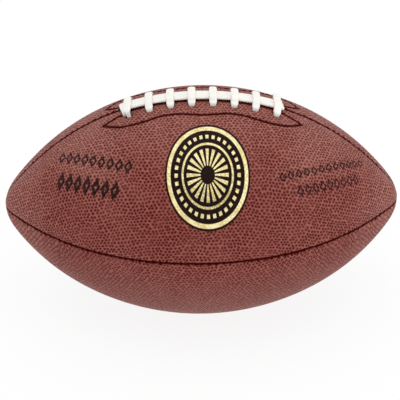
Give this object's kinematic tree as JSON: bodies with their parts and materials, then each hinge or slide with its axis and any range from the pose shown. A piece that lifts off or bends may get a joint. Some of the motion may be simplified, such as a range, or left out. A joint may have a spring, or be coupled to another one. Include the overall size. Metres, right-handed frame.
{
  "type": "american football",
  "caption": "Prolate inflatable ball of stitched, pebbled panels, with a raised white lace along the top seam, woven linings, an inner bladder and a needle valve.",
  "frame": {"origin": "centre of the ball, on its long axis and midway between its points", "axes": "+X along the long axis, +Z from the centre up through the laced seam, +Y towards the panel that holds the valve"},
  "size_m": [0.288, 0.1676, 0.1733],
  "materials": {
    "cover": "pebbled, satin",
    "lining": "woven",
    "facing": "smooth, matt",
    "tongue": "matt",
    "lace": "satin",
    "bladder": "satin",
    "patch": "matt",
    "valve": "matt",
    "core": "satin"
  },
  "bodies": {
    "root": {"panel_lace_front": "cover", "panel_lace_rear": "cover", "panel_lower_front": "cover", "panel_lower_rear": "cover", "lining_lace_front": "lining", "lining_lace_rear": "lining", "lining_lower_front": "lining", "lining_lower_rear": "lining", "facing_front": "facing", "facing_rear": "facing", "tongue": "tongue", "lace": "lace", "bladder": "bladder", "valve_patch": "patch", "valve_body": "valve", "valve_core": "core"}
  },
  "joints": []
}
